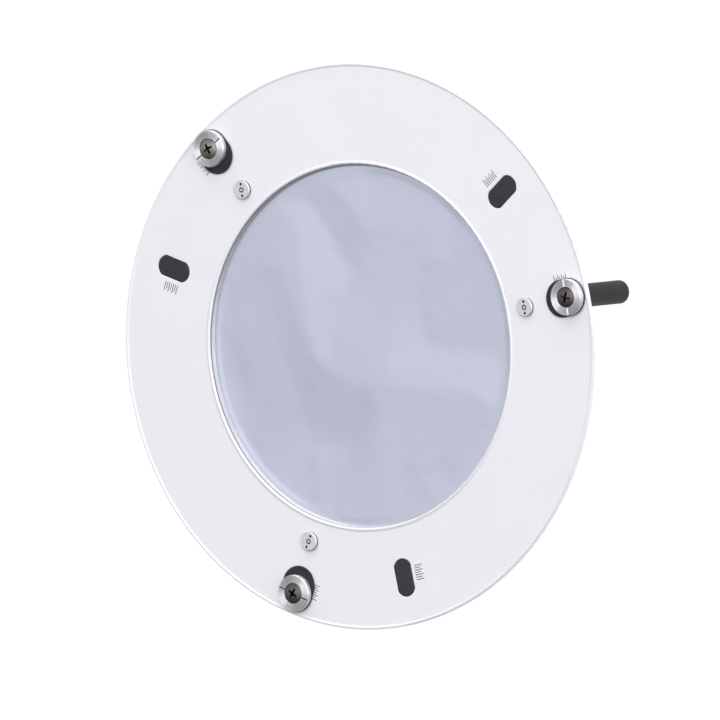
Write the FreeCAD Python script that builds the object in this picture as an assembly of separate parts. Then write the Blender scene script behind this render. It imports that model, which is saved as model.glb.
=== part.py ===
# Telescope solar filter: a round plate with a clear opening closed by metallised
# film, carried in front of a telescope tube by three sliding clamp posts.
# Frame: +Z is the optical axis, pointing out of the front face. The part rests
# on the tips of its three posts at Z = 0, with its front face up. +X runs
# through the post of clamp a; clamps b and c follow at 120 and 240 degrees.
# Units: millimetres.
import FreeCAD, Part
import os
import math

V = FreeCAD.Vector

# ---- driving dimensions -------------------------------------------------
front_z = 36.6          # front face of the plate above the post tips
plate_od = 233.7        # plate outside diameter
aperture_d = 150.0      # clear opening in the plate
plate_t = 1.6           # plate thickness
bead_h = 0.4            # raised bead that runs round the opening and round the outside
bead_in_foot = 76.8     # inner bead: where it leaves the face, its crest, its shoulder depth
bead_in_crest = 75.7
bead_in_drop = 0.35
bead_out_foot = 115.25  # outer bead
bead_out_crest = 116.2
bead_out_drop = 0.3
rear_break = 0.25       # chamfer on the plate's rear edges

slot_w = 8.6            # clamp slots: width between the two flats
slot_l = 15.9           # clamp slots: end to end
slot_end_r = 4.7        # clamp slots: radius of the two ends
slot_break = 0.25       # chamfer round a slot's front edge
plug_drop = 0.1         # top of a slot plug below the front face
plug_round = 0.5        # rounding of the plug's top edge
used_slot_r = 105.5     # slots that carry a clamp: centre to plate centre
spare_slot_r = 97.2     # spare slots, 30 degrees further round
clamp_angles = {"a": 0.0, "b": 120.0, "c": 240.0}
spare_angles = {"a": 30.0, "b": 150.0, "c": 270.0}

frame_ri = 74.2         # thin metal film frame behind the plate, bevelled inside
frame_bevel = 1.0
frame_ro = 81.5
frame_t = 1.1
film_r = 81.5           # film disc, nominal thickness far above the real 0.012
film_t = 0.1
ring_ri = 76.5          # retaining ring behind the film
ring_ro = 88.6
ring_t = 3.0
rebate_r = 81.7         # rebate in the ring that holds frame and film

cell_screw_r = 85.2     # circle of the three screws that hold the ring
cell_hole_r = 1.6
cell_shank_r = 1.45
cell_head_r = 3.85
cell_head_h = 1.4
cell_head_break = 0.3
ring_mark_ri = 0.6       # fine turned ring in the middle of a spanner head
ring_mark_ro = 1.1
ring_mark_d = 0.3
spanner_hole_r = 0.55
spanner_hole_pitch = 4.85
spanner_hole_depth = 1.2
spanner_turn = {"a": 86.0, "b": -34.0, "c": -7.0}
nut_af = 5.5
nut_h = 2.4
nut_bore_r = 1.5

clamp_r = 107.7         # clamp axis to plate centre, as shown
pad_t = 0.8             # obround slide pad under the index disc
pad_foot_h = 0.45       # its foot stands inside the bead, its flange clears the bead
pad_foot_r = 6.2
pad_r = 7.85            # flange, a little wider than the disc on it
pad_tail = 3.6          # how far the pad's inner round is set towards the centre
disc_r = 7.6
disc_t = 2.4
disc_break = 0.35
csk_r = 4.3             # countersink radius at the disc's top face, 90 degree cone
disc_hole_r = 2.55
groove_w = 0.45
groove_d = 0.25
groove_turn = -3.5
screw_r = 1.97          # M4 clamp screw, raised countersunk head
screw_head_r = 4.0
screw_head_z = 3.1      # top of the head's edge above the plate's front face
screw_dome_h = 0.55
screw_tip_z = -11.3     # end of the screw below the plate's front face
recess_span = 4.4       # cross recess, tip to tip
recess_w = 1.0
recess_d = 2.0
recess_turn = {"a": -25.0, "b": -13.0, "c": -15.0}
post_r = 4.85
post_tip_round = 0.8
post_bore_r = 2.05
post_bore_bottom = 22.6
tongue_r = 4.35
tongue_half_w = 4.25
tongue_h = 1.4

rear_z = front_z - plate_t

# ---- helpers ------------------------------------------------------------

def turned(points):
    """Solid of revolution about Z from a closed outline. Each entry is (r, z),
    or (r, z, mr, mz) where the run that ends there is an arc through (mr, mz)."""
    edges = []
    last = V(points[0][0], 0, points[0][1])
    for p in list(points[1:]) + [points[0][:2]]:
        here = V(p[0], 0, p[1])
        if len(p) == 4:
            edges.append(Part.Arc(last, V(p[2], 0, p[3]), here).toShape())
        else:
            edges.append(Part.LineSegment(last, here).toShape())
        last = here
    face = Part.Face(Part.Wire(edges))
    return face.revolve(V(0, 0, 0), V(0, 0, 1), 360)


def placed(shape, radius, angle, turn=0.0):
    """Turn a shape made on the Z axis, then put it at a radius and angle."""
    s = shape.copy()
    if turn:
        s.rotate(V(0, 0, 0), V(0, 0, 1), turn)
    s.translate(V(radius, 0, 0))
    s.rotate(V(0, 0, 0), V(0, 0, 1), angle)
    return s


def double_d_wire(length, width, end_r, z):
    """Closed wire of a slot with two flats and two arc ends, long axis on X."""
    hw = width / 2.0
    cx = length / 2.0 - end_r
    kx = cx + math.sqrt(end_r ** 2 - hw ** 2)
    top = Part.LineSegment(V(-kx, hw, z), V(kx, hw, z)).toShape()
    right = Part.Arc(V(kx, hw, z), V(length / 2.0, 0, z), V(kx, -hw, z)).toShape()
    foot = Part.LineSegment(V(kx, -hw, z), V(-kx, -hw, z)).toShape()
    left = Part.Arc(V(-kx, -hw, z), V(-length / 2.0, 0, z), V(-kx, hw, z)).toShape()
    return Part.Wire([top, right, foot, left])


def double_d(length, width, end_r, z0, z1):
    face = Part.Face(double_d_wire(length, width, end_r, z0))
    return face.extrude(V(0, 0, z1 - z0))


def cylinder(r, z0, z1, x=0.0, y=0.0):
    return Part.makeCylinder(r, z1 - z0, V(x, y, z0))


def export(name, shape):
    solids = shape.Solids
    if len(solids) != 1:
        raise ValueError("%s has %d solids" % (name, len(solids)))
    s = solids[0]
    if not s.isValid():
        raise ValueError("%s is not valid" % name)
    s.exportStep(os.path.join("parts", name + ".step"))
    print("%-18s volume %10.2f mm3" % (name, s.Volume))
    return s


# ---- front plate --------------------------------------------------------

def front_plate():
    ro = plate_od / 2.0
    ri = aperture_d / 2.0

    def rise(r0, z0, r1, z1):
        """Two points of a smooth S between two levels, as a pair of arcs."""
        rm, zm = (r0 + r1) / 2.0, (z0 + z1) / 2.0
        # a quarter of the way along an S of two equal arcs
        run, up = (r1 - r0) / 2.0, (z1 - z0) / 2.0
        rad = (run ** 2 + up ** 2) / (2.0 * abs(up))
        ang = math.asin(min(1.0, abs(run) / rad)) / 2.0
        dr = rad * math.sin(ang) * (1 if run > 0 else -1)
        dz = rad * (1 - math.cos(ang)) * (1 if up > 0 else -1)
        return (r0 + dr, z0 + dz), (rm, zm), (r1 - dr, z1 - dz)

    top = front_z + bead_h

    def shoulder(rc, re, ze):
        """Midpoint of the arc that leaves the crest level and ends at (re, ze)."""
        run, up = abs(re - rc), top - ze
        rad = (run ** 2 + up ** 2) / (2.0 * up)
        ang = math.asin(min(1.0, run / rad)) / 2.0
        if up > run:
            ang = (math.pi - math.asin(run / rad)) / 2.0
        return (rc + rad * math.sin(ang) * (1 if re > rc else -1),
                top - rad * (1 - math.cos(ang)))

    zi = front_z - bead_in_drop
    zo = front_z - bead_out_drop
    mi = shoulder(bead_in_crest, ri, zi)
    mo = shoulder(bead_out_crest, ro, zo)
    a1, am, a2 = rise(bead_in_crest, top, bead_in_foot, front_z)
    b1, bm, b2 = rise(bead_out_foot, front_z, bead_out_crest, top)
    body = turned([
        (ri + rear_break, rear_z),
        (ri, rear_z + rear_break),
        (ri, zi),
        (bead_in_crest, top, mi[0], mi[1]),
        (am[0], am[1], a1[0], a1[1]),
        (bead_in_foot, front_z, a2[0], a2[1]),
        (bead_out_foot, front_z),
        (bm[0], bm[1], b1[0], b1[1]),
        (bead_out_crest, top, b2[0], b2[1]),
        (ro, zo, mo[0], mo[1]),
        (ro, rear_z + rear_break),
        (ro - rear_break, rear_z),
    ])
    through = double_d(slot_l, slot_w, slot_end_r, rear_z - 1, front_z + 1)
    low = double_d_wire(slot_l, slot_w, slot_end_r, front_z - slot_break)
    grow = 2.0 * (slot_break + 0.1)
    high = double_d_wire(slot_l + grow, slot_w + grow, slot_end_r + grow / 2.0,
                         front_z + 0.1)
    bevel = Part.makeLoft([low, high], True, True)
    cutter = through.fuse(bevel)
    tools = []
    for angle in clamp_angles.values():
        tools.append(placed(cutter, used_slot_r, angle))
        tools.append(placed(cylinder(cell_hole_r, rear_z - 1, front_z + 1),
                            cell_screw_r, angle))
    for angle in spare_angles.values():
        tools.append(placed(cutter, spare_slot_r, angle))
    for t in tools:
        body = body.cut(t)
    return body


# ---- film frame, film and retaining ring --------------------------------

def film_frame():
    z1 = rear_z
    z0 = rear_z - frame_t
    return turned([
        (frame_ri, z0),
        (frame_ro, z0),
        (frame_ro, z1),
        (frame_ri + frame_bevel, z1),
        (frame_ri, z1 - frame_bevel),
    ])


def solar_film():
    z1 = rear_z - frame_t
    return cylinder(film_r, z1 - film_t, z1)


def retaining_ring():
    seat = rear_z - frame_t - film_t
    back = rear_z - ring_t
    body = turned([
        (ring_ri + 0.9, back),
        (ring_ri, back + 0.9),
        (ring_ri, seat - 0.3),
        (ring_ri + 0.3, seat),
        (rebate_r, seat),
        (rebate_r, rear_z),
        (ring_ro - 0.3, rear_z),
        (ring_ro, rear_z - 0.3),
        (ring_ro, back + 0.6),
        (ring_ro - 0.6, back),
    ])
    for angle in clamp_angles.values():
        body = body.cut(placed(cylinder(cell_hole_r, back - 1, rear_z + 1),
                               cell_screw_r, angle))
    return body


def spanner_screw():
    z0 = front_z
    z1 = front_z + cell_head_h
    tip = rear_z - ring_t - nut_h - 0.8
    r = cell_head_r
    b = cell_head_break
    k = b * (1 - math.sqrt(0.5))
    body = turned([
        (0, tip),
        (cell_shank_r - 0.35, tip),
        (cell_shank_r, tip + 0.35),
        (cell_shank_r, z0),
        (r - 0.15, z0),
        (r, z0 + 0.15),
        (r, z1 - b),
        (r - b, z1, r - k, z1 - k),
        (ring_mark_ro, z1),
        (ring_mark_ro - 0.1, z1 - ring_mark_d),
        (ring_mark_ri + 0.1, z1 - ring_mark_d),
        (ring_mark_ri, z1),
        (0, z1),
    ])
    for side in (-1, 1):
        x = side * spanner_hole_pitch / 2.0
        hole = cylinder(spanner_hole_r, z1 - spanner_hole_depth, z1 + 1, x)
        body = body.cut(hole)
    return body


def lock_nut():
    z1 = rear_z - ring_t
    z0 = z1 - nut_h
    corner = nut_af / math.sqrt(3)
    pts = [V(corner * math.cos(math.radians(60 * i + 30)),
             corner * math.sin(math.radians(60 * i + 30)), z0) for i in range(6)]
    hexagon = Part.Face(Part.makePolygon(pts + [pts[0]])).extrude(V(0, 0, nut_h))
    # both faces are turned to a 30 degree chamfer at the corners
    rise = (corner - nut_af / 2.0) * math.tan(math.radians(30)) + 0.05
    envelope = turned([
        (0, z0),
        (nut_af / 2.0 - 0.08, z0),
        (corner + 0.01, z0 + rise),
        (corner + 0.01, z1 - rise),
        (nut_af / 2.0 - 0.08, z1),
        (0, z1),
    ])
    nut = hexagon.common(envelope)
    bore = turned([
        (0, z0 - 1),
        (nut_bore_r + 1.25, z0 - 1),
        (nut_bore_r, z0 + 0.25),
        (nut_bore_r, z1 + 1),
        (0, z1 + 1),
    ])
    return nut.cut(bore)


def slot_plug():
    z1 = front_z - plug_drop
    body = double_d(slot_l, slot_w, slot_end_r, rear_z, z1)
    rim = [e for e in body.Edges if abs(e.BoundBox.ZMin - z1) < 1e-6 and abs(e.BoundBox.ZMax - z1) < 1e-6]
    return body.makeFillet(plug_round, rim)


# ---- clamps -------------------------------------------------------------

def slide_pad():
    z0, z1 = front_z, front_z + pad_t
    zf = front_z + pad_foot_h
    foot = obround(pad_foot_r, pad_tail, z0, zf + 0.1)
    low = obround(pad_r, pad_tail, zf, z1 - 0.1)
    edge = Part.makeLoft([obround_wire(pad_r, pad_tail, z1 - 0.1),
                          obround_wire(pad_r - 0.1, pad_tail, z1)], True, True)
    pad = foot.fuse(low).fuse(edge).removeSplitter()
    return pad.cut(cylinder(disc_hole_r, z0 - 1, z1 + 1))


def obround_wire(r, tail, z):
    top = Part.LineSegment(V(-tail, r, z), V(0, r, z)).toShape()
    right = Part.Arc(V(0, r, z), V(r, 0, z), V(0, -r, z)).toShape()
    foot = Part.LineSegment(V(0, -r, z), V(-tail, -r, z)).toShape()
    left = Part.Arc(V(-tail, -r, z), V(-tail - r, 0, z), V(-tail, r, z)).toShape()
    return Part.Wire([top, right, foot, left])


def obround(r, tail, z0, z1):
    return Part.Face(obround_wire(r, tail, z0)).extrude(V(0, 0, z1 - z0))


def index_disc():
    z0 = front_z + pad_t
    z1 = z0 + disc_t
    depth = csk_r - disc_hole_r
    body = turned([
        (disc_hole_r, z0),
        (disc_r - 0.25, z0),
        (disc_r, z0 + 0.25),
        (disc_r, z1 - disc_break),
        (disc_r - disc_break, z1),
        (csk_r, z1),
        (disc_hole_r, z1 - depth),
    ])
    groove = Part.makeBox(groove_w, 4 * disc_r, groove_d + 1,
                          V(-groove_w / 2.0, -2 * disc_r, z1 - groove_d))
    groove.rotate(V(0, 0, 0), V(0, 0, 1), groove_turn)
    return body.cut(groove)


def clamp_screw(turn):
    edge_z = front_z + screw_head_z
    top = edge_z + screw_dome_h
    tip = front_z + screw_tip_z
    cone_foot = edge_z - 0.1 - (screw_head_r - screw_r)
    sphere_r = (screw_head_r ** 2 + screw_dome_h ** 2) / (2 * screw_dome_h)
    half = math.asin(screw_head_r / sphere_r) / 2.0
    mr = sphere_r * math.sin(half)
    mz = top - sphere_r * (1 - math.cos(half))
    body = turned([
        (0, tip),
        (screw_r - 0.5, tip),
        (screw_r, tip + 0.5),
        (screw_r, cone_foot),
        (screw_head_r, edge_z - 0.1),
        (screw_head_r, edge_z),
        (0, top, mr, mz),
    ])
    # cross recess: four tapering arms round a small centre
    arms = None
    for a in (0, 90):
        hs = recess_span / 2.0
        pts = [V(-hs, 0, top + 0.5), V(hs, 0, top + 0.5), V(hs, 0, edge_z + 0.1),
               V(0.55, 0, top - recess_d), V(-0.55, 0, top - recess_d),
               V(-hs, 0, edge_z + 0.1)]
        face = Part.Face(Part.makePolygon(pts + [pts[0]]))
        arm = face.extrude(V(0, recess_w, 0))
        arm.translate(V(0, -recess_w / 2.0, 0))
        arm.rotate(V(0, 0, 0), V(0, 0, 1), a)
        arms = arm if arms is None else arms.fuse(arm)
    core = turned([(0, top - recess_d - 0.35), (0.75, top - recess_d), (1.15, top + 0.5),
                   (0, top + 0.5)])
    arms = arms.fuse(core)
    arms.rotate(V(0, 0, 0), V(0, 0, 1), turn)
    return body.cut(arms)


def clamp_post():
    k = post_tip_round * (1 - math.sqrt(0.5))
    body = turned([
        (0, 0),
        (post_r - post_tip_round, 0),
        (post_r, post_tip_round, post_r - k, k),
        (post_r, rear_z - 0.2),
        (post_r - 0.2, rear_z),
        (0, rear_z),
    ])
    tongue = double_d(2 * tongue_r, 2 * tongue_half_w, tongue_r, rear_z - 1.0,
                      rear_z + tongue_h)
    post = body.fuse(tongue).removeSplitter()
    bore = turned([
        (0, post_bore_bottom - 1.2),
        (post_bore_r, post_bore_bottom),
        (post_bore_r, rear_z + tongue_h - 0.3),
        (post_bore_r + 0.8, rear_z + tongue_h + 0.5),
        (0, rear_z + tongue_h + 0.5),
    ])
    return post.cut(bore)


# ---- build --------------------------------------------------------------

def main():
    os.makedirs("parts", exist_ok=True)
    export("front_plate", front_plate())
    export("film_frame", film_frame())
    export("solar_film", solar_film())
    export("retaining_ring", retaining_ring())
    head = spanner_screw()
    nut = lock_nut()
    plug = slot_plug()
    pad = slide_pad()
    disc = index_disc()
    post = clamp_post()
    for key, angle in clamp_angles.items():
        export("spanner_screw_" + key, placed(head, cell_screw_r, angle, spanner_turn[key]))
        export("lock_nut_" + key, placed(nut, cell_screw_r, angle))
        export("slide_pad_" + key, placed(pad, clamp_r, angle))
        export("index_disc_" + key, placed(disc, clamp_r, angle))
        export("clamp_post_" + key, placed(post, clamp_r, angle))
        export("clamp_screw_" + key, placed(clamp_screw(recess_turn[key]), clamp_r, angle))
    for key, angle in spare_angles.items():
        export("slot_plug_" + key, placed(plug, spare_slot_r, angle))


main()
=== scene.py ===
"""Looks of the telescope solar filter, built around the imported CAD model.
Lengths are metres in Blender; numbers written in millimetres are turned by MM.
The part lies on the tips of its three posts with its white front face up."""
import math

import bpy
import bmesh
import numpy as np
from mathutils import Matrix, Vector


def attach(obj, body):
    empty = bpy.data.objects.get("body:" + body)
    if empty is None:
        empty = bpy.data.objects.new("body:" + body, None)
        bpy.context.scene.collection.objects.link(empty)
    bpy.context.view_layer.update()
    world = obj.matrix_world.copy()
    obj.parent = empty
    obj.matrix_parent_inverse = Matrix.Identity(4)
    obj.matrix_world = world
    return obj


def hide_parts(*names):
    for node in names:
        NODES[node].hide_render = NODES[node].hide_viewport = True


MM = 0.001
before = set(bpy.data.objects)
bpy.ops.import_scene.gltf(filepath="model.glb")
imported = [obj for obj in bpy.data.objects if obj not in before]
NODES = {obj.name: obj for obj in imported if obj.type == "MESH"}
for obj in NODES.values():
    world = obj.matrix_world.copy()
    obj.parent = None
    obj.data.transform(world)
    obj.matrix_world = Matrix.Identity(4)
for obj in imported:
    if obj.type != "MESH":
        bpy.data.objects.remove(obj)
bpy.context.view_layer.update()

# ---- the part's own dimensions, in millimetres ----------------------------
FRONT_Z = 36.6
OPEN_R = 75.0
OUT_R = 116.85
BEAD_H = 0.4
FILM_TOP = 33.9
FILM_R = 81.5
FILM_HELD_R = 74.2
CLAMP_R = 107.7
DISC_R = 7.6
DISC_TOP = 39.8
HEAD_R = 85.2
USED_SLOT_R = 105.5
SPARE_SLOT_R = 97.2
GROOVE_TURN = -3.5
CLAMP_AT = {"a": 0.0, "b": 120.0, "c": 240.0}
SPARE_AT = {"a": 30.0, "b": 150.0, "c": 270.0}
RECESS_TURN = {"a": -25.0, "b": -13.0, "c": -15.0}


def polar(r, deg):
    a = math.radians(deg)
    return r * math.cos(a), r * math.sin(a)


# ---- camera -----------------------------------------------------------------
# A parallel view, 34.7 degrees off the plate's axis and a little off clamp a.
BACK = Vector((0.56671, -0.06046, 0.82169)).normalized()
UP = Vector((0.18810, 0.98047, -0.05756)).normalized()
RIGHT = UP.cross(BACK).normalized()
UP = BACK.cross(RIGHT).normalized()
PX_PER_M = 2430.0
DIST = 1.6
AIM = Vector((0, 0, FRONT_Z * MM)) - UP * 0.00572 + RIGHT * 0.00006

cam_data = bpy.data.cameras.new("camera")
cam = bpy.data.objects.new("camera", cam_data)
bpy.context.scene.collection.objects.link(cam)
cam_data.type = "ORTHO"
cam_data.ortho_scale = 720.0 / PX_PER_M
cam_data.sensor_width = 36.0
cam_data.sensor_fit = "HORIZONTAL"
cam_data.clip_start = 0.1
cam_data.clip_end = 20.0
cam_data.dof.use_dof = False
rot = Matrix((RIGHT, UP, BACK)).transposed()
cam.matrix_world = Matrix.Translation(AIM + BACK * DIST) @ rot.to_4x4()
bpy.context.scene.camera = cam

sc = bpy.context.scene
sc.view_settings.view_transform = "Standard"
sc.view_settings.look = "None"
sc.view_settings.exposure = 0.0
sc.view_settings.gamma = 1.0


# ---- node helpers -------------------------------------------------------------
class Graph:
    """Short way to write a node material; positions are the object's own, in mm."""

    def __init__(self, name):
        self.mat = bpy.data.materials.new(name)
        self.mat.use_nodes = True
        self.nt = self.mat.node_tree
        self.nt.nodes.clear()
        self.out = self.new("ShaderNodeOutputMaterial")
        self.bsdf = self.new("ShaderNodeBsdfPrincipled")
        self.link(self.bsdf.outputs[0], self.out.inputs["Surface"])
        self._mm = None

    def new(self, kind):
        return self.nt.nodes.new(kind)

    def link(self, a, b):
        self.nt.links.new(a, b)

    def put(self, node, name, value):
        if hasattr(value, "links") or isinstance(value, bpy.types.NodeSocket):
            self.link(value, node.inputs[name])
        else:
            node.inputs[name].default_value = value

    def set(self, **values):
        for k, v in values.items():
            self.put(self.bsdf, k.replace("_", " "), v)

    def mm(self):
        if self._mm is None:
            tc = self.new("ShaderNodeTexCoord")
            s = self.new("ShaderNodeVectorMath")
            s.operation = "SCALE"
            s.inputs["Scale"].default_value = 1000.0
            self.link(tc.outputs["Object"], s.inputs[0])
            self._mm = s.outputs[0]
        return self._mm

    def math(self, op, a, b=0.0, c=0.0, clamp=False):
        n = self.new("ShaderNodeMath")
        n.operation = op
        n.use_clamp = clamp
        for i, v in enumerate((a, b, c)):
            if i < len(n.inputs):
                self.put(n, i, v)
        return n.outputs[0]

    def vec(self, op, a, b=(0, 0, 0)):
        n = self.new("ShaderNodeVectorMath")
        n.operation = op
        self.put(n, 0, a)
        self.put(n, 1, b)
        return n.outputs["Value"] if op in ("LENGTH", "DOT_PRODUCT") else n.outputs[0]

    def split(self, v):
        n = self.new("ShaderNodeSeparateXYZ")
        self.put(n, 0, v)
        return n.outputs

    def join(self, x, y, z):
        n = self.new("ShaderNodeCombineXYZ")
        for i, v in enumerate((x, y, z)):
            self.put(n, i, v)
        return n.outputs[0]

    def noise(self, at, scale, detail=2.0, rough=0.5, distort=0.0):
        n = self.new("ShaderNodeTexNoise")
        self.put(n, "Vector", at)
        self.put(n, "Scale", scale)
        self.put(n, "Detail", detail)
        self.put(n, "Roughness", rough)
        self.put(n, "Distortion", distort)
        return n.outputs["Fac"]

    def span(self, value, lo, hi, to_lo=0.0, to_hi=1.0, smooth=False):
        n = self.new("ShaderNodeMapRange")
        n.interpolation_type = "SMOOTHSTEP" if smooth else "LINEAR"
        n.clamp = True
        self.put(n, "Value", value)
        self.put(n, "From Min", lo)
        self.put(n, "From Max", hi)
        self.put(n, "To Min", to_lo)
        self.put(n, "To Max", to_hi)
        return n.outputs["Result"]

    def mix(self, fac, a, b):
        n = self.new("ShaderNodeMix")
        n.data_type = "RGBA"
        self.put(n, 0, fac)
        self.put(n, 6, a if not isinstance(a, tuple) else (*a[:3], 1.0))
        self.put(n, 7, b if not isinstance(b, tuple) else (*b[:3], 1.0))
        return n.outputs[2]

    def bump(self, height, distance_mm, strength=1.0, normal=None):
        n = self.new("ShaderNodeBump")
        self.put(n, "Height", height)
        n.inputs["Strength"].default_value = strength
        n.inputs["Distance"].default_value = distance_mm * MM
        if normal is not None:
            self.link(normal, n.inputs["Normal"])
        return n.outputs["Normal"]


def lin(r, g, b):
    """sRGB bytes to linear colour."""
    out = []
    for v in (r, g, b):
        v /= 255.0
        out.append(v / 12.92 if v <= 0.04045 else ((v + 0.055) / 1.055) ** 2.4)
    return tuple(out)


# ---- materials --------------------------------------------------------------

def white_coat():
    g = Graph("white_coat")
    p = g.mm()
    x, y, z = g.split(p)[:3]
    r = g.math("SQRT", g.math("ADD", g.math("MULTIPLY", x, x), g.math("MULTIPLY", y, y)))
    cloud = g.noise(p, 0.035, 3.0, 0.55)
    grain = g.noise(p, 1.9, 2.0, 0.5)
    base = g.mix(g.span(cloud, 0.35, 0.65), (0.868, 0.859, 0.905), (0.884, 0.875, 0.920))
    # the coat thins a little on the crest of each bead
    crest_in = g.span(g.math("ABSOLUTE", g.math("SUBTRACT", r, 75.7)), 0.0, 0.5, 1.0, 0.0, True)
    crest_out = g.span(g.math("ABSOLUTE", g.math("SUBTRACT", r, 116.2)), 0.0, 0.5, 1.0, 0.0, True)
    crest = g.math("MAXIMUM", crest_in, crest_out)
    worn = g.math("MULTIPLY", crest, g.span(g.noise(p, 0.35, 3.0, 0.6), 0.35, 0.75))
    col = g.mix(g.math("MULTIPLY", worn, 0.25), base, (0.90, 0.90, 0.91))
    # the cut wall of the opening is painted flat dark grey: a bare uncoated edge, darkened further as painted shade
    bare_edge_and_shade = g.math("MULTIPLY", g.span(r, 75.02, 75.12, 1.0, 0.0), g.span(z, FRONT_Z - 0.45, FRONT_Z - 0.30, 1.0, 0.0))
    bare_edge_shade_col = g.mix(g.span(grain, 0.3, 0.7), (0.19, 0.19, 0.20), (0.27, 0.27, 0.285))
    col = g.mix(bare_edge_and_shade, col, bare_edge_shade_col)
    g.set(Base_Color=col, Metallic=0.0,
          Roughness=g.span(g.math("ADD", grain, g.math("MULTIPLY", worn, -0.3)), 0.2, 0.8, 0.36, 0.46),
          Normal=g.bump(grain, 0.006))
    g.bsdf.inputs["IOR"].default_value = 1.5
    g.bsdf.inputs["Coat Weight"].default_value = 0.12
    g.bsdf.inputs["Coat Roughness"].default_value = 0.18
    return g.mat


def film_foil():
    g = Graph("foil")
    p = g.mm()
    cloud = g.noise(p, 0.022, 3.0, 0.5, 0.4)
    haze = g.noise(p, 0.9, 3.0, 0.6)
    fine = g.noise(p, 7.0, 2.0, 0.5)
    col = g.mix(g.span(cloud, 0.38, 0.62, smooth=True), (0.780, 0.802, 0.965), (0.785, 0.818, 0.970))
    g.set(Base_Color=col, Metallic=1.0,
          Roughness=g.span(haze, 0.3, 0.7, 0.37, 0.42),
          Normal=g.bump(fine, 0.0012, normal=g.bump(haze, 0.004)))
    return g.mat


def sheet_metal(name, light, dark, rough, centre=(0.0, 0.0), pitch=0.5, depth=0.004, metallic=1.0):
    """Turned or brushed round a centre, with faint concentric lines."""
    g = Graph(name)
    p = g.mm()
    rel = g.vec("SUBTRACT", p, (centre[0], centre[1], 0.0))
    x, y, z = g.split(rel)[:3]
    r = g.math("SQRT", g.math("ADD", g.math("MULTIPLY", x, x), g.math("MULTIPLY", y, y)))
    around = g.math("ARCTAN2", y, x)
    lines = g.noise(g.join(g.math("MULTIPLY", r, 1.0 / pitch), g.math("MULTIPLY", around, 1.5), g.math("MULTIPLY", z, 1.0 / pitch)), 1.0, 3.0, 0.6)
    blotch = g.noise(p, 0.15, 3.0, 0.5)
    f = g.span(g.math("ADD", g.math("MULTIPLY", lines, 0.5), g.math("MULTIPLY", blotch, 0.5)), 0.35, 0.65)
    g.set(Base_Color=g.mix(f, dark, light), Metallic=metallic,
          Roughness=g.span(lines, 0.3, 0.7, rough + 0.05, rough - 0.04),
          Normal=g.bump(lines, depth))
    return g.mat


def turned_disc(key, groove_painted_light, line_half):
    """Face-turned bright disc: fine rings, stretched highlights across them.
    The index groove is painted as a highlight stripe on disc a and as shade on discs b and c; the countersink is
    painted near-black as shade round the screw head."""
    cx, cy = polar(CLAMP_R, CLAMP_AT[key])
    g = Graph("turned_metal_" + key)
    p = g.mm()
    rel = g.vec("SUBTRACT", p, (cx, cy, 0.0))
    x, y, z = g.split(rel)[:3]
    r = g.math("SQRT", g.math("ADD", g.math("MULTIPLY", x, x), g.math("MULTIPLY", y, y)))
    wobble = g.noise(p, 1.1, 2.0, 0.5)
    rings = g.math("SINE", g.math("ADD", g.math("MULTIPLY", r, 2 * math.pi / 0.16), g.math("MULTIPLY", wobble, 3.0)))
    band = g.noise(g.join(g.math("MULTIPLY", r, 2.2), 0.0, g.math("MULTIPLY", z, 2.0)), 1.0, 4.0, 0.65)
    smudge = g.noise(p, 0.6, 3.0, 0.6)
    out = g.vec("NORMALIZE", g.join(x, y, 0.0))
    tan_v = g.vec("ADD", out, (0.0, 0.0, 0.3))
    col = g.mix(g.span(g.math("ADD", g.math("MULTIPLY", band, 0.7), g.math("MULTIPLY", smudge, 0.3)), 0.35, 0.65),
                (0.74, 0.74, 0.765), (0.84, 0.84, 0.865))
    a = math.radians(CLAMP_AT[key] + GROOVE_TURN)
    off = g.math("ABSOLUTE", g.math("SUBTRACT", g.math("MULTIPLY", x, math.cos(a)), g.math("MULTIPLY", y, -math.sin(a))))
    on_top = g.span(z, DISC_TOP - 0.30, DISC_TOP - 0.27)
    # index groove stripe: a painted highlight tone on disc a, a painted shade tone on discs b and c
    groove_painted_mask = g.math("MULTIPLY", g.span(off, line_half, line_half + 0.05, 1.0, 0.0),
                  g.math("MULTIPLY", on_top, g.math("MULTIPLY", g.span(r, 4.32, 4.42), g.span(r, 7.15, 7.45, 1.0, 0.0))))
    # the countersink round the screw head is painted near-black as shade
    recess_shade = g.math("MULTIPLY", g.span(r, 4.28, 4.36, 1.0, 0.0), g.span(z, DISC_TOP - 0.07, DISC_TOP - 0.02, 1.0, 0.0))
    col = g.mix(groove_painted_mask, col, groove_painted_light)
    col = g.mix(recess_shade, col, (0.05, 0.048, 0.048))
    g.set(Base_Color=col, Metallic=g.math("SUBTRACT", 1.0, groove_painted_mask),
          Roughness=g.span(g.math("ADD", band, g.math("MULTIPLY", groove_painted_mask, -0.4)), 0.3, 0.7, 0.37, 0.31),
          Normal=g.bump(rings, 0.0035, normal=g.bump(band, 0.006)),
          Tangent=tan_v)
    g.bsdf.inputs["Anisotropic"].default_value = 1.0
    g.bsdf.inputs["Anisotropic Rotation"].default_value = 0.0
    return g.mat


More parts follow.
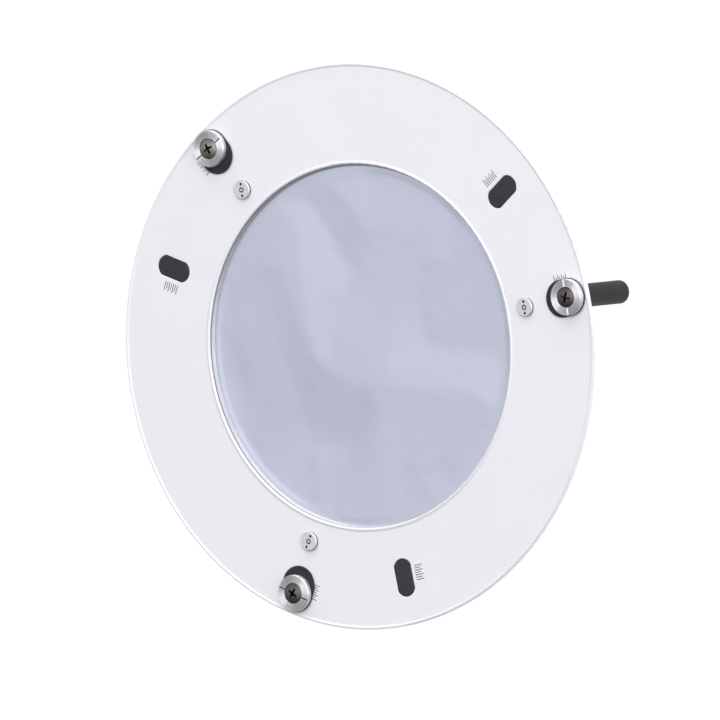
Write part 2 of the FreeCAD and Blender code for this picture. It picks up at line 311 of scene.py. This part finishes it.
def steel_head(name, light, dark, rough, centre, pitch=0.25, recess_shade=None, low_side_shade=None):
    """Small machined head: lathe rings on top; painted near-black shade in its recesses (level, reach from the centre)
    and painted dark shade low on its side (level)."""
    g = Graph(name)
    p = g.mm()
    rel = g.vec("SUBTRACT", p, (centre[0], centre[1], 0.0))
    x, y, z = g.split(rel)[:3]
    r = g.math("SQRT", g.math("ADD", g.math("MULTIPLY", x, x), g.math("MULTIPLY", y, y)))
    rings = g.noise(g.join(g.math("MULTIPLY", r, 1.0 / pitch), 0.0, g.math("MULTIPLY", z, 1.0 / pitch)), 1.0, 2.0, 0.5)
    blotch = g.noise(p, 0.9, 3.0, 0.6)
    f = g.span(g.math("ADD", g.math("MULTIPLY", rings, 0.45), g.math("MULTIPLY", blotch, 0.55)), 0.35, 0.65)
    col = g.mix(f, dark, light)
    if recess_shade:
        level, reach = recess_shade
        # recesses below the level and inside the reach are painted near-black as shade
        recess_shade_mask = g.math("MULTIPLY", g.span(z, level - 0.10, level, 1.0, 0.0), g.span(r, reach, reach + 0.1, 1.0, 0.0))
        col = g.mix(recess_shade_mask, col, (0.040, 0.034, 0.032))
    if low_side_shade:
        # the side below the level is painted dark as shade where the head meets the plate
        low = g.math("MULTIPLY", g.span(z, low_side_shade - 0.35, low_side_shade, 1.0, 0.0), g.span(r, 3.6, 3.7))
        col = g.mix(low, col, (0.09, 0.09, 0.09))
    g.set(Base_Color=col, Metallic=1.0,
          Roughness=g.span(blotch, 0.3, 0.7, rough + 0.06, rough - 0.04),
          Normal=g.bump(rings, 0.004, normal=g.bump(g.noise(p, 3.5, 2.0, 0.5), 0.004)))
    return g.mat


def black_plastic(name, low, high, rough, grain_mm=0.25, depth=0.012):
    g = Graph(name)
    p = g.mm()
    grain = g.noise(p, 1.0 / grain_mm, 2.0, 0.6)
    blotch = g.noise(p, 0.12, 3.0, 0.5)
    dust = g.span(g.noise(p, 2.6, 4.0, 0.7), 0.62, 0.74)
    base = g.mix(g.span(blotch, 0.35, 0.65), low, high)
    col = g.mix(g.math("MULTIPLY", dust, 0.10), base, (0.16, 0.16, 0.165))
    g.set(Base_Color=col, Metallic=0.0,
          Roughness=g.span(grain, 0.3, 0.7, rough - 0.05, rough + 0.07),
          Normal=g.bump(grain, depth))
    g.bsdf.inputs["Specular IOR Level"].default_value = 0.35
    return g.mat


def tick_ink():
    g = Graph("scale_ink")
    p = g.mm()
    n = g.noise(p, 3.0, 3.0, 0.6)
    g.set(Base_Color=g.mix(g.span(n, 0.35, 0.65), (0.03, 0.03, 0.034), (0.06, 0.06, 0.065)),
          Metallic=0.0, Roughness=g.span(n, 0.3, 0.7, 0.5, 0.62))
    return g.mat


def wear(node, mat):
    o = NODES[node]
    me = o.data
    if not me.materials:
        me.materials.append(mat)
    for i in range(len(me.materials)):
        me.materials[i] = mat


wear("front_plate", white_coat())
wear("film_frame", sheet_metal("frame_metal", (0.58, 0.59, 0.63), (0.50, 0.51, 0.55), 0.42, metallic=0.55))
wear("retaining_ring", sheet_metal("ring_metal", (0.66, 0.67, 0.68), (0.54, 0.55, 0.56), 0.34, pitch=0.8))
post_black = black_plastic("black_polymer", (0.012, 0.012, 0.013), (0.017, 0.017, 0.018), 0.60)
plug_black = black_plastic("plug_polymer", (0.027, 0.027, 0.032), (0.035, 0.035, 0.040), 0.36, 0.22, 0.016)
pad_black = black_plastic("pad_polymer", (0.018, 0.018, 0.020), (0.025, 0.025, 0.027), 0.55, 0.3, 0.010)
# index groove stripe per disc, with its half-width in mm: a painted highlight on a, painted shade on b and c
INDEX_GROOVE_PAINTED_LIGHT = {
    "a": ((0.93, 0.93, 0.94), 0.42),
    "b": ((0.035, 0.034, 0.034), 0.25),
    "c": ((0.040, 0.040, 0.040), 0.25),
}
SCREW_TINT = {
    "a": ((0.22, 0.195, 0.20), (0.12, 0.105, 0.11)),
    "b": ((0.44, 0.405, 0.385), (0.26, 0.235, 0.22)),
    "c": ((0.22, 0.205, 0.20), (0.13, 0.12, 0.118)),
}
for k, deg in CLAMP_AT.items():
    cx, cy = polar(CLAMP_R, deg)
    hx, hy = polar(HEAD_R, deg)
    wear("index_disc_" + k, turned_disc(k, *INDEX_GROOVE_PAINTED_LIGHT[k]))
    light, dark = SCREW_TINT[k]
    wear("clamp_screw_" + k, steel_head("screw_steel_" + k, light, dark, 0.24, (cx, cy), 0.35, recess_shade=(40.0, 2.5)))
    wear("spanner_screw_" + k, steel_head("bright_steel_" + k, (0.95, 0.945, 0.94), (0.88, 0.875, 0.87), 0.34, (hx, hy), 0.4,
                                           recess_shade=(FRONT_Z + 1.37, 3.2), low_side_shade=FRONT_Z + 1.0))
    wear("lock_nut_" + k, steel_head("nut_steel_" + k, (0.66, 0.66, 0.64), (0.52, 0.52, 0.50), 0.30, (hx, hy), 0.4))
    wear("clamp_post_" + k, post_black)
    wear("slide_pad_" + k, pad_black)
    wear("slot_plug_" + k, plug_black)


# ---- film: one slack, gently creased sheet held between frame and ring ---------

def make_film():
    # flats between the creases of the slack film: corners (u, v) in mm and tilt;
    # u runs to the right in the camera's view, v up
    flats = [
        (1.0, [(-40, 58), (-27, 61), (-20, 54), (-11, 39), (-5, 29), (-11, 11), (-20, -8), (-25, -2), (-28, 11), (-31, 34), (-31, 48)]),
        (-0.6, [(-26, 63), (-14, 67), (-1, 53), (6, 46), (0, 29), (-9, 37), (-19, 53)]),
        (0.7, [(-9, 68), (5, 69), (8, 62), (2, 50), (-3, 57)]),
        (0.35, [(7, 69), (28, 64), (43, 55), (34, 48), (5, 50)]),
        (0.75, [(43, 58), (49, 53), (40, 35), (34, 39), (38, 50)]),
        (0.9, [(27, 20), (31, 1), (48, -2), (69, -3), (70, -11), (64, -27), (53, -19), (34, -18), (14, -17), (11, -6), (17, 9)]),
        (0.45, [(57, -6), (70, -11), (64, -27), (54, -18)]),
        (-0.85, [(-50, 31), (-43, 37), (-35, 21), (-26, 0), (-19, -9), (-5, -16), (6, -17), (5, -27), (-5, -39), (-18, -41), (-30, -34), (-34, -21), (-42, 0), (-46, 16)]),
        (-0.35, [(-69, 22), (-50, 38), (-45, 0), (-37, -30), (-55, -45), (-68, -22)]),
        (-0.6, [(-69, 5), (-63, 7), (-55, -11), (-54, -21), (-61, -16), (-66, -5)]),
        (1.0, [(-70, -10), (-65, -16), (-63, -27), (-67, -21)]),
        (-0.8, [(-1, -21), (6, -18), (2, -39), (-11, -57), (-16, -66), (-10, -48), (-6, -34)]),
        (-0.7, [(-31, -46), (-25, -48), (-25, -66), (-29, -67)]),
        (0.6, [(-23, -55), (-17, -48), (-20, -64), (-25, -71)]),
        (0.4, [(8, -21), (21, -21), (18, -34), (15, -66), (6, -66), (7, -39)]),
        (0.55, [(27, -55), (41, -50), (45, -57), (34, -64), (30, -62)]),
        (-0.6, [(18, -47), (23, -48), (32, -62), (30, -65), (21, -57)]),
        (-1.0, [(39, -47), (48, -57), (43, -57), (39, -51)]),
        (-0.6, [(30, 11), (34, 14), (37, 1), (32, 1)]),
        (0.2, [(-5, 29), (10, 11), (9, -11), (-11, 5)]),
    ]
    n = 320
    half = 84.0
    step = 2 * half / n
    ax = (np.arange(n) + 0.5) * step - half
    U, V = np.meshgrid(ax, ax, indexing="ij")
    T = np.zeros_like(U)
    for tilt, corners in flats:
        crossings = np.zeros(U.shape, dtype=bool)
        near = np.full(U.shape, 1e9)
        for (u0, v0), (u1, v1) in zip(corners, corners[1:] + corners[:1]):
            du, dv = u1 - u0, v1 - v0
            t = np.clip(((U - u0) * du + (V - v0) * dv) / float(du * du + dv * dv), 0, 1)
            near = np.minimum(near, np.hypot(U - u0 - t * du, V - v0 - t * dv))
            if dv:
                at = u0 + (V - v0) * du / dv
                crossings ^= ((V >= min(v0, v1)) & (V < max(v0, v1)) & (U < at))
        side = np.where(crossings, near, -near)
        T += tilt * (0.5 + 0.5 * np.tanh(side / 2.2))
    R = np.hypot(U, V)
    inside = np.clip((73.8 - R) / 6.0, 0, 1)
    inside = inside * inside * (3 - 2 * inside)
    T = (T - T[R < 72].mean()) * inside
    # a height whose slope along the light's run is the tilt T
    sx, sy = 0.70, 0.714
    kx = np.fft.fftfreq(n, step) * 2 * np.pi
    KX, KY = np.meshgrid(kx, kx, indexing="ij")
    ks = KX * sx + KY * sy
    k2 = KX ** 2 + KY ** 2
    k2[0, 0] = 1.0
    H = np.real(np.fft.ifft2(-1j * ks * np.fft.fft2(T) / (ks ** 2 + 0.10 * k2 + 1e-4)))
    H = -H
    rng = np.random.RandomState(11)

    def soft_noise(lo, hi):
        """Band of smooth noise with wavelengths from lo to hi, in mm."""
        F = np.fft.fft2(rng.normal(size=(n, n)))
        k = np.sqrt(k2)
        band = np.exp(-((np.log(k) - math.log(2 * np.pi / math.sqrt(lo * hi))) / (0.5 * math.log(hi / lo))) ** 2)
        band[0, 0] = 0
        f = np.real(np.fft.ifft2(F * band))
        return f / f.std()

    # crumple: folded noise, so its ridges are sharper than its hollows
    crumple = np.abs(soft_noise(12, 30)) * 0.012 + soft_noise(5, 10) * 0.0012
    crumple -= crumple.mean()
    # short pinches that fan in from the held edge
    ang = np.arctan2(V, U)
    pinch = np.zeros_like(U)
    for _ in range(46):
        a0 = rng.uniform(-math.pi, math.pi)
        wid = rng.uniform(0.012, 0.032)
        reach = rng.uniform(5.0, 16.0)
        amp = rng.uniform(0.008, 0.022) * (1 if rng.rand() < 0.5 else -1)
        lean = rng.uniform(-0.003, 0.003)
        da = (ang - a0 - lean * (74 - R) + math.pi) % (2 * math.pi) - math.pi
        fall = np.exp(-np.clip(74 - R, 0, None) / (reach * 0.5))
        pinch += amp * np.exp(-(da / wid) ** 2) * fall * np.clip((74.0 - R) / 2.5, 0, 1)
    hold = np.clip((FILM_HELD_R - 0.2 - R) / 3.0, 0, 1)
    hold = hold * hold * (3 - 2 * hold)
    Z = H * 0.040 * hold + (crumple * hold) + pinch * hold
    # the slack sags a little inside the frame
    Z -= 0.10 * np.clip(1 - (R / FILM_HELD_R) ** 2, 0, 1) ** 0.5

    rings = np.concatenate([np.linspace(0.9, 66, 74), np.linspace(66.6, FILM_HELD_R, 14),
                            [75.2, 77.0, 79.5, FILM_R]])
    seg = 384
    a0 = math.radians(-10.86)
    eu = np.array([math.cos(a0), math.sin(a0)])
    ev = np.array([-math.sin(a0), math.cos(a0)])

    def height(x, y):
        u, v = x * eu[0] + y * eu[1], x * ev[0] + y * ev[1]
        fu, fv = (u + half) / step - 0.5, (v + half) / step - 0.5
        i, j = int(fu), int(fv)
        du, dv = fu - i, fv - j
        return ((Z[i, j] * (1 - du) + Z[i + 1, j] * du) * (1 - dv)
                + (Z[i, j + 1] * (1 - du) + Z[i + 1, j + 1] * du) * dv)

    top, bottom, thick = [], [], 0.03
    pts = [(0.0, 0.0)]
    for r in rings:
        for s in range(seg):
            a = 2 * math.pi * s / seg
            pts.append((r * math.cos(a), r * math.sin(a)))
    verts = []
    for x, y in pts:
        rr = math.hypot(x, y)
        z = 0.0 if rr > FILM_HELD_R - 0.05 else height(x, y)
        verts.append((x * MM, y * MM, (FILM_TOP - 0.02 + z) * MM))
    m = len(verts)
    verts += [(x, y, z - thick * MM) for x, y, z in verts]
    faces = []
    for s in range(seg):
        t = (s + 1) % seg
        faces.append((0, 1 + s, 1 + t))
        faces.append((m, m + 1 + t, m + 1 + s))
    for q in range(len(rings) - 1):
        b0, b1 = 1 + q * seg, 1 + (q + 1) * seg
        for s in range(seg):
            t = (s + 1) % seg
            faces.append((b0 + s, b1 + s, b1 + t, b0 + t))
            faces.append((m + b0 + t, m + b1 + t, m + b1 + s, m + b0 + s))
    e = 1 + (len(rings) - 1) * seg
    for s in range(seg):
        t = (s + 1) % seg
        faces.append((e + s, m + e + s, m + e + t, e + t))
    me = bpy.data.meshes.new("film")
    me.from_pydata(verts, [], faces)
    me.validate()
    me.update()
    me.shade_smooth()
    o = bpy.data.objects.new("film", me)
    bpy.context.scene.collection.objects.link(o)
    me.materials.append(film_foil())
    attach(o, "cell")
    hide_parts("solar_film")
    return o


make_film()


# ---- index scales: fine raised ink lines beside every slot ---------------------

def make_scale(name, deg, r_mid):
    bm = bmesh.new()
    high = 0.012
    a = math.radians(deg)
    er = Vector((math.cos(a), math.sin(a), 0))
    et = Vector((-math.sin(a), math.cos(a), 0))
    for i in range(7):
        r = r_mid + (i - 3) * 0.99
        t1 = 10.0 if i % 2 == 0 else 9.1
        w = 0.17
        ring = []
        for (dr, t) in ((-w, 6.0), (w, 6.0), (w * 0.9, t1 - 0.06), (0, t1), (-w * 0.9, t1 - 0.06)):
            ring.append((er * (r + dr) + et * t))
        lo = [bm.verts.new((p.x * MM, p.y * MM, (FRONT_Z + 0.001) * MM)) for p in ring]
        mid = sum(ring, Vector()) / len(ring)
        hi = []
        for p in ring:
            q = p.lerp(mid, 0.0)
            hi.append(bm.verts.new((q.x * MM, q.y * MM, (FRONT_Z + high) * MM)))
        bm.faces.new(hi)
        bm.faces.new(lo[::-1])
        k = len(ring)
        for j in range(k):
            bm.faces.new((lo[j], lo[(j + 1) % k], hi[(j + 1) % k], hi[j]))
    bmesh.ops.recalc_face_normals(bm, faces=bm.faces)
    me = bpy.data.meshes.new(name)
    bm.to_mesh(me)
    bm.free()
    o = bpy.data.objects.new(name, me)
    bpy.context.scene.collection.objects.link(o)
    me.materials.append(INK)
    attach(o, "cell")
    return o


INK = tick_ink()
for k, deg in CLAMP_AT.items():
    make_scale("scale_used_" + k, deg, 104.6)
for k, deg in SPARE_AT.items():
    make_scale("scale_spare_" + k, deg, 96.27)


# ---- floor and light -------------------------------------------------------------

def make_floor():
    bm = bmesh.new()
    s = 6.0
    bmesh.ops.create_grid(bm, x_segments=1, y_segments=1, size=s)
    me = bpy.data.meshes.new("floor")
    bm.to_mesh(me)
    bm.free()
    o = bpy.data.objects.new("floor", me)
    bpy.context.scene.collection.objects.link(o)
    g = Graph("floor_white")
    g.set(Base_Color=(0.12, 0.12, 0.12, 1), Roughness=0.9)
    g.bsdf.inputs["Specular IOR Level"].default_value = 0.0
    g.bsdf.inputs["Emission Color"].default_value = (1, 1, 1, 1)
    g.bsdf.inputs["Emission Strength"].default_value = 0.93
    me.materials.append(g.mat)
    return o


make_floor()

EU = Vector((math.cos(math.radians(-10.86)), math.sin(math.radians(-10.86)), 0))
EV = Vector((math.sin(math.radians(10.86)), math.cos(math.radians(10.86)), 0))


def toward(u, v, w):
    """Direction from picture-aligned parts: right, up, and out of the face."""
    return (EU * u + EV * v + Vector((0, 0, w))).normalized()


def make_world():
    world = bpy.data.worlds.new("studio")
    sc.world = world
    world.use_nodes = True
    nt = world.node_tree
    nt.nodes.clear()
    out = nt.nodes.new("ShaderNodeOutputWorld")
    bg = nt.nodes.new("ShaderNodeBackground")
    nt.links.new(bg.outputs[0], out.inputs["Surface"])
    tc = nt.nodes.new("ShaderNodeTexCoord")

    def dot(k):
        n = nt.nodes.new("ShaderNodeVectorMath")
        n.operation = "DOT_PRODUCT"
        nt.links.new(tc.outputs["Generated"], n.inputs[0])
        n.inputs[1].default_value = k
        return n.outputs["Value"]

    def m(op, a, b=0.0):
        n = nt.nodes.new("ShaderNodeMath")
        n.operation = op
        for i, v in enumerate((a, b)):
            if isinstance(v, (int, float)):
                n.inputs[i].default_value = v
            else:
                nt.links.new(v, n.inputs[i])
        return n.outputs[0]

    du = dot(EU)
    dv = dot(EV)

    def bell(x, mid, wide):
        return m("POWER", 2.71828, m("MULTIPLY", m("POWER", m("DIVIDE", m("SUBTRACT", x, mid), wide), 2.0), -1.0))

    def ramp(x, lo, hi):
        n = nt.nodes.new("ShaderNodeMapRange")
        n.interpolation_type = "SMOOTHSTEP"
        nt.links.new(x, n.inputs["Value"])
        n.inputs["From Min"].default_value = lo
        n.inputs["From Max"].default_value = hi
        return n.outputs["Result"]

    # a long white band over the part, a glow beyond its top and a pale wall at the right
    band = m("MULTIPLY", bell(dv, 0.09, 0.27), m("ADD", 0.50, m("MULTIPLY", ramp(du, -1.0, 0.0), 0.80)))
    level = m("ADD", m("ADD", 0.12, band), m("ADD", m("MULTIPLY", ramp(dv, 0.55, 0.95), 2.3),
                                                 m("MULTIPLY", ramp(du, 0.35, 0.90), 0.7)))
    nt.links.new(level, bg.inputs["Strength"])
    bg.inputs["Color"].default_value = (0.985, 0.99, 1.0, 1)


make_world()


def softbox(name, direction, dist, size, watts, colour=(1, 1, 1)):
    d = bpy.data.lights.new(name, "AREA")
    d.shape = "RECTANGLE"
    d.size, d.size_y = size
    d.energy = watts
    d.color = colour
    o = bpy.data.objects.new(name, d)
    bpy.context.scene.collection.objects.link(o)
    o.location = Vector((0, 0, 0.03)) + direction * dist
    o.rotation_mode = "QUATERNION"
    o.rotation_quaternion = direction.to_track_quat("Z", "Y")
    return o


softbox("front_softbox", toward(0.25, 0.42, 0.87), 1.8, (1.2, 1.1), 11.0)
